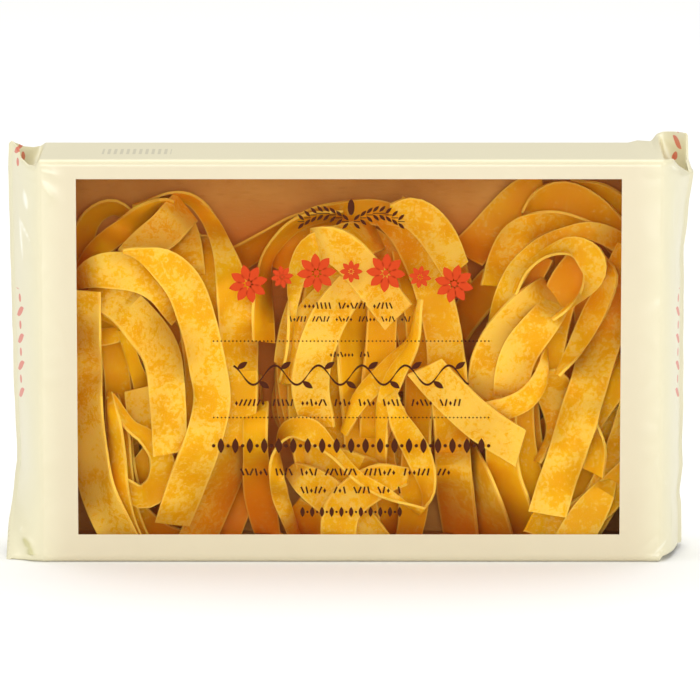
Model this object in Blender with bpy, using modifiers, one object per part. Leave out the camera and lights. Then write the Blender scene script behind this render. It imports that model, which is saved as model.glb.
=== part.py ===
"""A windowed flow-wrapped pack of dry egg pasta: printed film round a board tray with three nests of wide ribbon.

Metres, +Z up. The pack stands on its long lower side with the window facing -Y, and the origin is the middle of
the face it stands on. Each sub-part is one object: the wrap, its clear pane, the tray and the three nests.
"""

import math

import bmesh
import bpy
from mathutils import Vector

# Driving dimensions of the wrapped tray.
BODY_WIDTH = 0.2165
BODY_DEPTH = 0.0500
BODY_HEIGHT = 0.1420
CORNER_RADIUS = 0.0022
CORNER_STEPS = 3
FILM = 0.0008
GAP = 0.0003

# Each end closes in a slanting panel from the tray to a flat seal at half depth, whose fin is folded back.
SEAL_REACH = 0.0095
SEAL_HALF = 0.0006
SLANT_STEPS = (0.28, 0.48, 0.70, 0.88, 1.0)
CREASE_RADIUS = 0.0011
CREASE_STEPS = (-1.0, -1 / 3, 1 / 3, 1.0)
FIN_LENGTH = 0.0095
FIN_BEND = math.radians(76)
FIN_BEND_RADIUS = 0.0018
FIN_BEND_STEPS = 3
EAR_LEFT = 0.0040
EAR_RIGHT = 0.0067

# The top and bottom sides tuck in between the slanting panels as a valley, which the seal presses shut.
VALLEY_DEPTH = 0.0150
SHOULDER_ACROSS = 0.35
SHOULDER_DOWN = 0.55
PRESSED_SHUT_WITHIN = 0.0060
THINNEST_HALF = 0.0004
CORNER_SHARE = 0.6

# The long seam lies flat along the middle of the back, and runs out where the ends slant.
SEAM_WIDTH = 0.0120
SEAM_STEP = 0.0006
SEAM_RUN_OUT = 0.00002
SEAM_ENDS_AT = 0.0040

# The clear window, measured from the middle of the front.
WINDOW_WIDTH = 0.1900
WINDOW_HEIGHT = 0.1260
WINDOW_SHIFT = Vector((-0.0008, 0.0, 0.0016))
PANE_RECESS = 0.15 * FILM
CUTTER_OVERSHOOT = 0.0040
CUTTER_BITE = 0.0020

# The open-fronted tray of thin board.
BOARD = 0.0009
TRAY_FRONT_SETBACK = 0.0024
TRAY_ROUNDING = 0.0018

# Nests: centre along X, half width, height, and the phase of the ribs that the turns of ribbon leave.
NEST_DEPTH = 0.0430
NESTS = {
    "nest_left": {"middle": -0.0695, "half_width": 0.0350, "height": 0.1310, "phase": 0.4},
    "nest_middle": {"middle": 0.0015, "half_width": 0.0355, "height": 0.1285, "phase": 2.1},
    "nest_right": {"middle": 0.0710, "half_width": 0.0335, "height": 0.1330, "phase": 4.4},
}
NEST_SEGMENTS = 40
NEST_RINGS = 18
BOXINESS = 0.74
RIB_COUNT = 11
RIB_HEIGHT = 0.0014
RIB_SWAY = 2.2
LUMP_HEIGHT = 0.0012

FILM_INK = (0.93, 0.88, 0.74)
PANE_TINT = (0.95, 0.96, 0.95)
BOARD_BROWN = (0.45, 0.20, 0.06)
PASTA_YELLOW = (0.83, 0.52, 0.06)


def clear_scene():
    for old in list(bpy.data.objects):
        bpy.data.objects.remove(old)


def new_collection(name):
    collection = bpy.data.collections.new(name)
    bpy.context.scene.collection.children.link(collection)
    return collection


def finish_material(name, colour, roughness, alpha=1.0):
    material = bpy.data.materials.new(name)
    material.use_nodes = True
    shader = material.node_tree.nodes["Principled BSDF"]
    shader.inputs["Base Color"].default_value = (*colour, 1.0)
    shader.inputs["Roughness"].default_value = roughness
    shader.inputs["Metallic"].default_value = 0.0
    shader.inputs["Alpha"].default_value = alpha
    return material


def add_object(name, builder, collection, material=None):
    mesh = bpy.data.meshes.new(name)
    builder.to_mesh(mesh)
    builder.free()
    made = bpy.data.objects.new(name, mesh)
    collection.objects.link(made)
    if material:
        mesh.materials.append(material)
    return made


def box_mesh(low, high):
    """A closed box between two corners."""
    builder = bmesh.new()
    bmesh.ops.create_cube(builder, size=1.0)
    bmesh.ops.scale(builder, vec=high - low, verts=builder.verts)
    bmesh.ops.translate(builder, vec=(low + high) / 2, verts=builder.verts)
    return builder


def half_depth(reach):
    """Half the pack's thickness at this distance past the end of the tray, with a rounded crease at 0."""
    if reach >= CREASE_RADIUS:
        run = reach
    else:
        run = max(0.0, reach + CREASE_RADIUS) ** 2 / (4 * CREASE_RADIUS)
    return BODY_DEPTH / 2 - (BODY_DEPTH / 2 - SEAL_HALF) * run / SEAL_REACH


def valley_at(depth):
    """How far the top or bottom side is tucked in where the pack is this deep from its middle."""
    tucked = max(0.0, 1.0 - (depth / (BODY_DEPTH / 2)) ** 2)
    still_open = max(0.0, min(1.0, (depth - SEAL_HALF) / PRESSED_SHUT_WITHIN))
    return VALLEY_DEPTH * math.sqrt(tucked) * still_open


def outline(depth, low, high, valley, radius, seam):
    """One closed outline across the pack as (y, z) pairs: bottom, back with its seam, top, front."""
    points = []

    def corner(y_sign, z, z_sign, start):
        centre_y = y_sign * (depth - radius)
        centre_z = z - z_sign * radius
        for step in range(CORNER_STEPS + 1):
            angle = start + math.pi / 2 * step / CORNER_STEPS
            points.append((centre_y + radius * math.cos(angle), centre_z + radius * math.sin(angle)))

    def side(z, down, y_sign):
        points.append((y_sign * depth * SHOULDER_ACROSS, z + down * SHOULDER_DOWN))
        points.append((0.0, z + down))
        points.append((-y_sign * depth * SHOULDER_ACROSS, z + down * SHOULDER_DOWN))

    corner(-1, low, -1, math.pi)
    side(low, valley, -1)
    corner(1, low, -1, 1.5 * math.pi)
    seam_low = BODY_HEIGHT / 2 - SEAM_WIDTH / 2
    seam_high = BODY_HEIGHT / 2 + SEAM_WIDTH / 2
    points.append((depth, seam_low))
    points.append((depth + seam, seam_low))
    points.append((depth + seam, seam_high))
    points.append((depth, seam_high))
    corner(1, high, 1, 0.0)
    side(high, -valley, 1)
    corner(-1, high, 1, 0.5 * math.pi)
    return points


def stations(ear):
    """(centre x, centre y, heading, half depth, ear height) along one end, from the tray out to the fin's edge."""
    found = []
    creased = [share * CREASE_RADIUS for share in CREASE_STEPS]
    slanting = [share * SEAL_REACH for share in SLANT_STEPS]
    for reach in (*creased, *slanting):
        lift = ear * max(0.0, reach / SEAL_REACH) ** 2
        found.append((BODY_WIDTH / 2 + reach, 0.0, 0.0, half_depth(reach), lift))
    for step in range(1, FIN_BEND_STEPS + 1):
        heading = FIN_BEND * step / FIN_BEND_STEPS
        x = BODY_WIDTH / 2 + SEAL_REACH + FIN_BEND_RADIUS * math.sin(heading)
        y = FIN_BEND_RADIUS * (1.0 - math.cos(heading))
        found.append((x, y, heading, SEAL_HALF, ear))
    edge_x = x + FIN_LENGTH * math.cos(FIN_BEND)
    edge_y = y + FIN_LENGTH * math.sin(FIN_BEND)
    found.append((edge_x, edge_y, FIN_BEND, SEAL_HALF, ear))
    return found


def ring_points(station, inset, side):
    """The outline at one station in space. side is 1 at the right end and -1, mirrored in X, at the left."""
    x, y, heading, outer_depth, lift = station
    depth = max(outer_depth - inset, THINNEST_HALF)
    radius = min(CORNER_RADIUS - inset, depth * CORNER_SHARE)
    valley = valley_at(depth + inset)
    if valley > THINNEST_HALF:
        valley += 2.0 * inset
    seam_shows = inset == 0.0 and heading == 0.0 and depth > SEAM_ENDS_AT
    seam = SEAM_STEP if seam_shows else SEAM_RUN_OUT
    flat = outline(depth, inset, BODY_HEIGHT - inset + lift, valley, radius, seam)
    across_x, across_y = -math.sin(heading), math.cos(heading)
    return [Vector((side * (x + across * across_x), y + across * across_y, z)) for across, z in flat]


def pack_skin(inset, most_stations=None):
    """The closed outer skin of the pack, or the same skin moved in by inset, as a loft from end to end."""
    left = stations(EAR_LEFT)[:most_stations]
    right = stations(EAR_RIGHT)[:most_stations]
    rings = [ring_points(station, inset, -1) for station in reversed(left)]
    rings += [ring_points(station, inset, 1) for station in right]
    builder = bmesh.new()
    rows = [[builder.verts.new(point) for point in ring] for ring in rings]
    for row, following in zip(rows, rows[1:]):
        for index in range(len(row)):
            after = (index + 1) % len(row)
            builder.faces.new((row[index], row[after], following[after], following[index]))
    builder.faces.new(rows[0])
    builder.faces.new(rows[-1])
    bmesh.ops.recalc_face_normals(builder, faces=builder.faces)
    return builder


def cut(target, cutter):
    cutter.hide_render = True
    cutter.display_type = "WIRE"
    modifier = target.modifiers.new("cut_" + cutter.name, "BOOLEAN")
    modifier.operation = "DIFFERENCE"
    modifier.object = cutter
    modifier.solver = "EXACT"


def window_box(front, back, margin):
    """A box through the window's opening between two depths, smaller by margin all round."""
    middle = Vector((0.0, 0.0, BODY_HEIGHT / 2)) + WINDOW_SHIFT
    half = Vector((WINDOW_WIDTH / 2 - margin, 0.0, WINDOW_HEIGHT / 2 - margin))
    return box_mesh(middle - half + Vector((0, front, 0)), middle + half + Vector((0, back, 0)))


def make_wrap(parts, cutters):
    """The printed film: a thin skin with tucked ends, folded-back fins, a back seam and the window's opening."""
    wrap = add_object("wrap_film", pack_skin(0.0), parts, finish_material("printed_film", FILM_INK, 0.38))
    slant_stations = len(CREASE_STEPS) + len(SLANT_STEPS) - 2
    hollow = add_object("hollow_cutter", pack_skin(FILM, slant_stations), cutters)
    front = -BODY_DEPTH / 2 - CUTTER_OVERSHOOT
    back = -BODY_DEPTH / 2 + CUTTER_BITE
    opening = add_object("opening_cutter", window_box(front, back, 0.0), cutters)
    cut(wrap, hollow)
    cut(wrap, opening)


def make_pane(parts):
    """The part of the film that isn't printed, seated in the opening."""
    front = -BODY_DEPTH / 2 + PANE_RECESS
    back = -BODY_DEPTH / 2 + FILM - PANE_RECESS
    clear = finish_material("clear_film", PANE_TINT, 0.1, 0.3)
    add_object("window_pane", window_box(front, back, GAP), parts, clear)


def make_tray(parts):
    """The open-fronted board tray that keeps the pack square."""
    outer = Vector((BODY_WIDTH / 2 - FILM - GAP, BODY_DEPTH / 2 - FILM - GAP, 0.0))
    low = Vector((-outer.x, -BODY_DEPTH / 2 + TRAY_FRONT_SETBACK, FILM + GAP))
    high = Vector((outer.x, outer.y, BODY_HEIGHT - FILM - GAP))
    builder = box_mesh(low, high)
    front = min(builder.faces, key=lambda face: face.calc_center_median().y)
    bmesh.ops.delete(builder, geom=[front], context="FACES_ONLY")
    back_edges = [edge for edge in builder.edges if min(vert.co.y for vert in edge.verts) > 0]
    bmesh.ops.bevel(builder, geom=back_edges, offset=TRAY_ROUNDING, segments=2, profile=0.5, affect="EDGES")
    bmesh.ops.recalc_face_normals(builder, faces=builder.faces)
    tray = add_object("board_tray", builder, parts, finish_material("kraft_board", BOARD_BROWN, 0.75))
    wall = tray.modifiers.new("board", "SOLIDIFY")
    wall.thickness = BOARD
    wall.offset = -1.0
    wall.use_even_offset = True


def squared(value):
    """A coordinate on the unit ball pulled towards plus or minus one, which makes the ball a rounded box."""
    return math.copysign(abs(value) ** BOXINESS, value)


def make_nest(parts, name, facts, material):
    """One nest of ribbon out to its uneven outline: a rounded loaf with ribs where the turns of ribbon run."""
    builder = bmesh.new()
    bmesh.ops.create_uvsphere(builder, u_segments=NEST_SEGMENTS, v_segments=NEST_RINGS, radius=1.0)
    half = Vector((facts["half_width"], NEST_DEPTH / 2, facts["height"] / 2)) - Vector((1, 1, 1)) * RIB_HEIGHT
    phase = facts["phase"]
    for vert in builder.verts:
        around = math.atan2(vert.co.y, vert.co.x)
        rise = vert.co.z
        direction = vert.co.normalized()
        fading = 1.0 - rise ** 4
        ribs = math.sin(RIB_COUNT * around + RIB_SWAY * math.sin(2.0 * rise + phase) + phase)
        lumps = math.sin(3.0 * around + 4.0 * rise + phase) * math.cos(5.0 * rise - phase)
        grown = fading * (RIB_HEIGHT * ribs + LUMP_HEIGHT * (lumps - 1.0))
        place = Vector([half[axis] * squared(vert.co[axis]) for axis in range(3)])
        vert.co = place + direction * grown
    floor_of_tray = FILM + GAP + BOARD + GAP
    low = min(vert.co.z for vert in builder.verts)
    bmesh.ops.translate(builder, vec=(facts["middle"], 0.0, floor_of_tray - low), verts=builder.verts)
    nest = add_object(name, builder, parts, material)
    nest.data.shade_smooth()


def main():
    clear_scene()
    parts = new_collection("pasta_nest_pack")
    cutters = new_collection("cutters")
    make_wrap(parts, cutters)
    make_pane(parts)
    make_tray(parts)
    pasta = finish_material("egg_pasta", PASTA_YELLOW, 0.6)
    for name, facts in NESTS.items():
        make_nest(parts, name, facts, pasta)


main()
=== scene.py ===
# %% [markdown]
# # A windowed pack of dry pasta nests
#
# The pack is a flow wrap: one tube of printed film round a board tray, shut by a crimped seal at each end. A
# clear window in the front shows three nests of wide egg ribbon. The solid model gives every size and place.
# This lesson makes the looks round it: the nests ribbon by ribbon, the film with its creases, the print, the
# board and the light.

# %% Load the solid model
import math

import bmesh
import bpy
import numpy as np
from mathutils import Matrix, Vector, noise


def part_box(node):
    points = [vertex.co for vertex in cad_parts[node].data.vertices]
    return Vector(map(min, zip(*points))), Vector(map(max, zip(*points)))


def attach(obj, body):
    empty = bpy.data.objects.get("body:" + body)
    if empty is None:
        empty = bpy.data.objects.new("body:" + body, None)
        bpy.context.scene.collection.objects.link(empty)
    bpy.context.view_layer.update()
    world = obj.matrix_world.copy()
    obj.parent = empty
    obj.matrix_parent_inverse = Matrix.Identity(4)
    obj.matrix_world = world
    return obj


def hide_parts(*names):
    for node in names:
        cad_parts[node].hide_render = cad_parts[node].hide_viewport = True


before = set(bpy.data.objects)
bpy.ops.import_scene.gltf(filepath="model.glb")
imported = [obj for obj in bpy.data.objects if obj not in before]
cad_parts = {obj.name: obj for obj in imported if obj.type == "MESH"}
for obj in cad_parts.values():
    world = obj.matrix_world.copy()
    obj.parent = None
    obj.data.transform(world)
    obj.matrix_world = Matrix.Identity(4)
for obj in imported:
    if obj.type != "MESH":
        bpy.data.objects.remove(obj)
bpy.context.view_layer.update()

MM = 0.001
BODY = "root"
tray_low, tray_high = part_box("board_tray")
pane_low, pane_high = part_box("window_pane")
WALL = tray_low.z
HALF_LENGTH = tray_high.x + WALL
HALF_DEPTH = tray_high.y + WALL
HEIGHT = tray_high.z + WALL
body_size = (2 * HALF_LENGTH, 2 * HALF_DEPTH, HEIGHT)
print("body, mm:", [round(size / MM, 1) for size in body_size])

# %% [markdown]
# ## Shader maths in Python
#
# A finish is easier to read as an expression than as a chain of nodes. Wire wraps one socket, and its
# operators add Math nodes. Finish wraps one material, and its node method makes any other node, with its
# settings put in first.


# %% A socket that takes part in sums
class Wire:
    def __init__(self, finish, socket):
        self.finish = finish
        self.socket = socket

    def sum_with(self, operation, *values):
        return self.finish.node("ShaderNodeMath", {"operation": operation}, dict(enumerate(values)))

    def __add__(self, other):
        return self.sum_with("ADD", self, other)

    def __sub__(self, other):
        return self.sum_with("SUBTRACT", self, other)

    def __rsub__(self, other):
        return self.sum_with("SUBTRACT", other, self)

    def __mul__(self, other):
        return self.sum_with("MULTIPLY", self, other)

    def __truediv__(self, other):
        return self.sum_with("DIVIDE", self, other)

    def __abs__(self):
        return self.sum_with("ABSOLUTE", self)

    __radd__ = __add__
    __rmul__ = __mul__


# %% A material and its nodes
class Finish:
    def __init__(self, name, **fixed):
        self.material = bpy.data.materials.new(name)
        self.material.use_nodes = True
        self.tree = self.material.node_tree
        self.shader = self.tree.nodes["Principled BSDF"]
        for socket, value in fixed.items():
            self.feed(self.shader, socket.replace("_", " "), value)

    def feed(self, node, socket, value):
        if isinstance(value, Wire):
            self.tree.links.new(value.socket, node.inputs[socket])
        else:
            node.inputs[socket].default_value = value

    def node(self, kind, settings, sockets, output=0):
        made = self.tree.nodes.new(kind)
        for setting, value in settings.items():
            setattr(made, setting, value)
        for socket, value in sockets.items():
            self.feed(made, socket, value)
        return Wire(self, made.outputs[output])

    def place(self):
        return self.node("ShaderNodeTexCoord", {}, {}, "Object")

    def axis(self, name):
        return self.node("ShaderNodeSeparateXYZ", {}, {"Vector": self.place()}, name)

    def speckle(self, scale, detail=4.0, rough=0.6, stretch=(1.0, 1.0, 1.0), bend=0.0):
        spot = self.node("ShaderNodeMapping", {}, {"Vector": self.place(), "Scale": stretch})
        sockets = {"Vector": spot, "Scale": scale, "Detail": detail, "Roughness": rough, "Distortion": bend}
        return self.node("ShaderNodeTexNoise", {}, sockets)

    def ramp(self, value, low, high):
        sockets = {"Value": value, "From Min": low, "From Max": high}
        return self.node("ShaderNodeMapRange", {"interpolation_type": "SMOOTHSTEP"}, sockets)

    def mix(self, share, first, second):
        sockets = {0: share, 6: first, 7: second}
        return self.node("ShaderNodeMix", {"data_type": "RGBA"}, sockets, 2)

    def attribute(self, name):
        return self.node("ShaderNodeAttribute", {"attribute_name": name}, {}, "Fac")

    def bumps(self, height):
        return self.node("ShaderNodeBump", {}, {"Height": height, "Distance": 0.2 * MM, "Strength": 0.5})

    def shade(self, **changing):
        for socket, value in changing.items():
            self.feed(self.shader, socket.replace("_", " "), value)
        print(self.material.name, "has", len(self.tree.nodes), "nodes")
        return self.material


def tint(red, green, blue):
    """A colour as a colour picker gives it, from 0 to 255, made linear for a shader."""
    shares = [value / 255 for value in (red, green, blue)]
    linear = [share / 12.92 if share <= 0.04045 else ((share + 0.055) / 1.055) ** 2.4 for share in shares]
    return (*linear, 1.0)


# %% [markdown]
# ## Finished pieces
#
# Every piece goes the same way: its mesh is put in an object at the origin, it gets a material, and it rides
# on the pack's one body. A thin sheet is modelled flat and gets its thickness from Solidify, which is applied
# here, because the sharp edges of the rim can only be marked once the rim is there.


# %% Put a mesh in the scene
def put_in_scene(name, data):
    thing = bpy.data.objects.new(name, data)
    bpy.context.scene.collection.objects.link(thing)
    return thing


def put_mesh(name, builder):
    mesh = bpy.data.meshes.new(name)
    builder.to_mesh(mesh)
    builder.free()
    return put_in_scene(name, mesh)


def new_grid(columns, rows, size=0.5):
    builder = bmesh.new()
    bmesh.ops.create_grid(builder, x_segments=columns, y_segments=rows, size=size)
    return builder


def add_piece(name, builder, material, wall=0.0, offset=-1.0, sharp=40):
    piece = put_mesh(name, builder)
    if wall:
        thicken = piece.modifiers.new("wall", "SOLIDIFY")
        thicken.thickness = wall
        thicken.offset = offset
        thicken.use_even_offset = False
        seen = piece.evaluated_get(bpy.context.evaluated_depsgraph_get())
        flat, piece.data = piece.data, bpy.data.meshes.new_from_object(seen)
        piece.modifiers.clear()
        bpy.data.meshes.remove(flat)
        piece.data.name = name
    piece.data.materials.clear()
    piece.data.materials.append(material)
    piece.data.shade_smooth()
    piece.data.set_sharp_from_angle(angle=math.radians(sharp))
    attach(piece, BODY)
    print(name, "has", len(piece.data.polygons), "faces")
    return piece


# %% [markdown]
# ## Pasta
#
# Egg ribbon is rolled and cut, so its faces carry a lacy bloom of dry flour over deep gold. Its cut edges are
# pale, partly from flour and partly as a painted glow of light through the thin edge. The bloom is fine noise
# pushed through a narrow step. A ribbon's share of flour and how far across it a point lies are attributes of
# the mesh. The shade within a nest is painted: light there has come through pasta, so ribbons are painted a
# deeper orange-gold the further in they lie, and less so near the top, where light falls in from above. The
# lace is also a bump, with a finer grain.

# %% The pasta's colours and where they change
GOLD, RICH_GOLD = tint(236, 167, 1), tint(242, 181, 2)
PAINTED_SHADE_AMBER, FLOUR, EDGE_FLOUR_AND_GLOW = tint(241, 138, 6), tint(243, 199, 88), tint(248, 200, 80)
# The painted shade begins and is full this far behind the window, and fades between these heights.
PAINTED_SHADE_DEPTHS = (pane_high.y + 15 * MM, pane_high.y + 38 * MM)
PAINTED_SHADE_HEIGHTS = (98 * MM, 120 * MM)
# The step that turns noise into flour, and the band beside a cut, as shares of half the ribbon's width.
BLOOM_STEP = (0.53, 0.56)
EDGE_BAND = (0.43, 0.485)


# %% The pasta's finish
def pasta_finish():
    finish = Finish("egg_pasta", Specular_IOR_Level=0.12, Subsurface_Weight=0.3, Subsurface_Scale=1.5 * MM)
    flour = finish.attribute("flour")
    across = finish.attribute("across")
    behind = finish.ramp(finish.axis("Y"), *PAINTED_SHADE_DEPTHS)
    # Painted shade: deeper in the nest and lower down, the gold is painted a deeper orange.
    painted_shade = behind * (1.0 - finish.ramp(finish.axis("Z"), *PAINTED_SHADE_HEIGHTS) * 0.75)
    broad = finish.speckle(95.0, 3.0)
    lace = finish.speckle(620.0, 8.0, 0.78, bend=0.3)
    bloom = finish.ramp(lace + (broad - 0.5) * 0.55 + (flour - 0.55) * 0.2, *BLOOM_STEP)
    # Pale band by each cut edge: partly flour, partly a painted glow of light through the thin edge.
    edge = finish.ramp(abs(across - 0.5), *EDGE_BAND)
    gold = finish.mix(finish.ramp(broad, 0.35, 0.65), GOLD, RICH_GOLD)
    gold_in_painted_shade = finish.mix(painted_shade, gold, PAINTED_SHADE_AMBER)
    # Where the shade is painted, the flour and the pale edges show less.
    floured = finish.mix(bloom * 0.68 * (1.0 - painted_shade * 0.7), gold_in_painted_shade, FLOUR)
    colour = finish.mix(edge * 0.8 * (1.0 - painted_shade * 0.4), floured, EDGE_FLOUR_AND_GLOW)
    grain = finish.bumps(lace * 0.6 + finish.speckle(1900.0, 3.0) * 0.4)
    return finish.shade(Base_Color=colour, Roughness=0.55 + bloom * 0.2, Normal=grain)


egg_pasta = pasta_finish()

# %% [markdown]
# ## How a ribbon lies
#
# A route says where the middle of a ribbon goes, as seen through the window, and how far it is rolled: 0 lies
# flat to the window and 90 stands on its edge. It has a few points, as shares of the nest's half width and of
# its height, and a smooth curve runs through them. The depth isn't set by hand. As in a real nest, a ribbon
# rests on what is behind it, so a height map of the heap pushes each new ribbon forward, clear of the others.

# %% Sizes of the ribbon
RIBBON_WIDTH = 13.0 * MM
RIBBON_THICK = 0.9 * MM
CLEARANCE = RIBBON_THICK + 0.8 * MM
STEP = 1.1 * MM
LANES = 13
CUPPING = 0.9 * MM
CELL = 1.5 * MM
HEAP_BACK = tray_high.y - 1.6 * MM
HEAP_FRONT = pane_high.y + 0.9 * MM
SIDE_ROOM = 1.2 * MM
# Where the heap is thin it is stretched towards the window, but at most by this much.
MOST_LOFT = 1.4
# Where each lane lies across a ribbon, from its left edge to its right.
LANE = np.linspace(-0.5, 0.5, LANES)[None, :]
# Its edges are wavy: how much, and how fast along the ribbon.
RIPPLE, RIPPLE_RATE = 0.6 * MM, 150.0
# A knife rarely cuts a ribbon square: how far the cut slants, and how far along the ribbon that is felt.
CUT_SLANT = 4.0 * MM
CUT_REACH = 9.0 * MM
# An end that is tucked in bends backwards over this length.
TUCK_REACH = 3.5 * MM
# A dry ribbon is stiff: over how many steps it tilts, and over how many it is lifted.
TILT_STEPS, LIFT_STEPS, EVEN_STEPS = 7, 4, 3
# The film presses on a patch of the heap: how many cells it looks at, and over how many it evens out.
PRESS_CELLS, BLEND_CELLS = 6, 4
# A ribbon further back lies lower, by this share of how far it is behind the front of the heap.
SAG = 0.14
print("a ribbon is", LANES, "lanes wide and each step along it is", STEP / MM, "mm")


# %% A smooth curve through a route's points
def smooth_route(points):
    """Points in metres with a roll, at even steps along a curve through the route's own points."""
    known = np.array(points, float)
    known = np.vstack([2 * known[0] - known[1], known, 2 * known[-1] - known[-2]])
    fine = []
    for before, start, end, after in zip(known, known[1:], known[2:], known[3:]):
        for share in np.linspace(0.0, 1.0, 40, endpoint=False):
            pull = (end - before) * share
            lift = (2 * before - 5 * start + 4 * end - after) * share ** 2
            ease = (3 * start - before - 3 * end + after) * share ** 3
            fine.append(start + 0.5 * (pull + lift + ease))
    fine = np.array(fine + [known[-2]])
    lengths = np.hypot(*np.diff(fine[:, :2], axis=0).T)
    travelled = np.concatenate([[0.0], np.cumsum(lengths)])
    count = max(9, int(travelled[-1] / STEP) | 1)
    even = np.linspace(0.0, travelled[-1], count)
    return np.stack([np.interp(even, travelled, fine[:, column]) for column in range(3)], axis=1)


def smoothed(values, reach):
    """A running mean along the first axis, over reach steps each way."""
    padded = np.pad(values, ((reach, reach), (0, 0)), mode="edge")
    return sum(padded[i:i + len(values)] for i in range(2 * reach + 1)) / (2 * reach + 1)


# %% The heap, as a map of its front
class Heap:
    def __init__(self):
        self.low = np.array([tray_low.x, tray_low.z])
        cells = np.ceil((np.array([tray_high.x, tray_high.z]) - self.low) / CELL).astype(int) + 2
        self.front = np.full(cells, HEAP_BACK)

    def cells_at(self, x, z):
        column = np.clip(((x - self.low[0]) / CELL).astype(int), 0, self.front.shape[0] - 1)
        row = np.clip(((z - self.low[1]) / CELL).astype(int), 0, self.front.shape[1] - 1)
        return column, row

    def around(self, values, reach, pick):
        """Each cell's value picked from the cells within reach of it."""
        padded = np.pad(values, reach, mode="edge")
        wide, high = values.shape
        span = range(2 * reach + 1)
        return pick([padded[i:i + wide, j:j + high] for i in span for j in span], axis=0)

    def nearest(self, x, z):
        return self.around(self.front, 1, np.min)[self.cells_at(x, z)]

    def add(self, x, y, z):
        np.minimum.at(self.front, self.cells_at(x, z), y)

    def pressed(self, x, y, z):
        """Depths once the heap fills out to the window. Each place keeps its order from back to front."""
        used = HEAP_BACK - self.around(self.front, PRESS_CELLS, np.min)
        share = np.minimum(MOST_LOFT, (HEAP_BACK - HEAP_FRONT) / np.maximum(used, CELL))
        share = self.around(share, BLEND_CELLS, np.mean)
        column = np.clip((x - self.low[0]) / CELL - 0.5, 0, share.shape[0] - 1.001)
        row = np.clip((z - self.low[1]) / CELL - 0.5, 0, share.shape[1] - 1.001)
        i, j = column.astype(int), row.astype(int)
        a, b = column - i, row - j
        lower = share[i, j] * (1 - a) + share[i + 1, j] * a
        upper = share[i, j + 1] * (1 - a) + share[i + 1, j + 1] * a
        return np.maximum(HEAP_BACK - (HEAP_BACK - y) * (lower * (1 - b) + upper * b), HEAP_FRONT)


heap = Heap()
laid = {}


# %% The bend of one ribbon
def bent_ribbon(points, flour, flatness):
    """A grid of places (x, y, z), and how far along the ribbon each station is.

    The share of flour and the first point also stand for chance, so ribbons are cupped and cut unlike.
    """
    route = smooth_route(points)
    ahead = np.gradient(route[:, :2], axis=0)
    ahead /= np.hypot(ahead[:, 0], ahead[:, 1])[:, None]
    roll = np.radians(route[:, 2])[:, None]
    travelled = np.arange(len(route))[:, None] * STEP
    ripple = RIPPLE * np.sin(travelled * RIPPLE_RATE + 9.0 * flour) * (2 * LANE) ** 3
    bulge = CUPPING * (1.0 - (2.0 * LANE) ** 2) * math.cos(17.0 * flour) + ripple
    sideways = RIBBON_WIDTH * LANE * np.cos(roll) + bulge * np.sin(roll)
    slant = CUT_SLANT * math.sin(900.0 * points[0][0]) * LANE * np.cos(roll)
    onward = slant * (np.exp(-travelled / CUT_REACH) - np.exp((travelled - travelled[-1]) / CUT_REACH))
    x = route[:, 0:1] + ahead[:, 1:2] * sideways + ahead[:, 0:1] * onward
    z = route[:, 1:2] - ahead[:, 0:1] * sideways + ahead[:, 1:2] * onward
    y = HEAP_BACK + flatness * RIBBON_WIDTH * LANE * np.sin(roll) - bulge * np.cos(roll)
    x = np.clip(x, tray_low.x + SIDE_ROOM, tray_high.x - SIDE_ROOM)
    z = np.clip(z, tray_low.z + SIDE_ROOM, tray_high.z - SIDE_ROOM)
    return x, y, z, travelled


# %% Lay one ribbon on the heap
def rested(x, y, z):
    """Depths once the ribbon lies just clear of the heap: it tilts, and lifts where that isn't enough."""
    needed = y - heap.nearest(x, z) + CLEARANCE
    half = LANES // 2 + 1
    edges = np.stack([needed[:, :half].max(axis=1), needed[:, -half:].max(axis=1)], axis=1)
    edges = np.maximum(edges, smoothed(edges, TILT_STEPS))
    push = edges[:, 0:1] * (0.5 - LANE) + edges[:, 1:2] * (0.5 + LANE)
    missing = (needed - push).max(axis=1, keepdims=True).clip(0)
    short = missing
    for _ in range(3):
        short = np.maximum(missing, smoothed(short, LIFT_STEPS))
    return y - smoothed(push + short, EVEN_STEPS)


def lay_ribbon(piece, points, flour, flatness, tucks=(0.0, 0.0)):
    """Flatness is how much of its own depth a ribbon keeps where it stands on edge.

    tucks says how far its first and last end bend back into the heap.
    """
    x, y, z, travelled = bent_ribbon(points, flour, flatness)
    y = rested(x, y, z)
    heap.add(x, y, z)
    left_to_go = travelled[-1] - travelled
    for tuck, away in zip(tucks, (travelled, left_to_go)):
        y = y + tuck * np.exp(-(away / TUCK_REACH) ** 2)
    laid.setdefault(piece, []).append((x, np.minimum(y, HEAP_BACK), z, flour))


# %% Turn a route's shares into metres
def in_nest(node, route):
    low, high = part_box(node)
    middle, half = (low.x + high.x) / 2, (high.x - low.x) / 2
    return [(middle + across * half, low.z + up * (high.z - low.z), roll) for across, up, roll in route]


# %% [markdown]
# ## The deep turns
#
# Before it dries, a nest is coiled round and round, so most of it is loops that stand on edge behind those in
# front. They are only seen in the gaps. A seeded loop draws them as parts of ellipses with their own size,
# start and roll. A few loose strands that run up the nest lie behind them, and a few more in front.

# %% Coil the deep turns
NESTS = {"nest_left": 11, "nest_middle": 23, "nest_right": 37}
DEEP_TURNS = 9
STRANDS = 2
DEEP_FLATNESS = 0.3
FRONT_FLATNESS = 0.75


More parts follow.
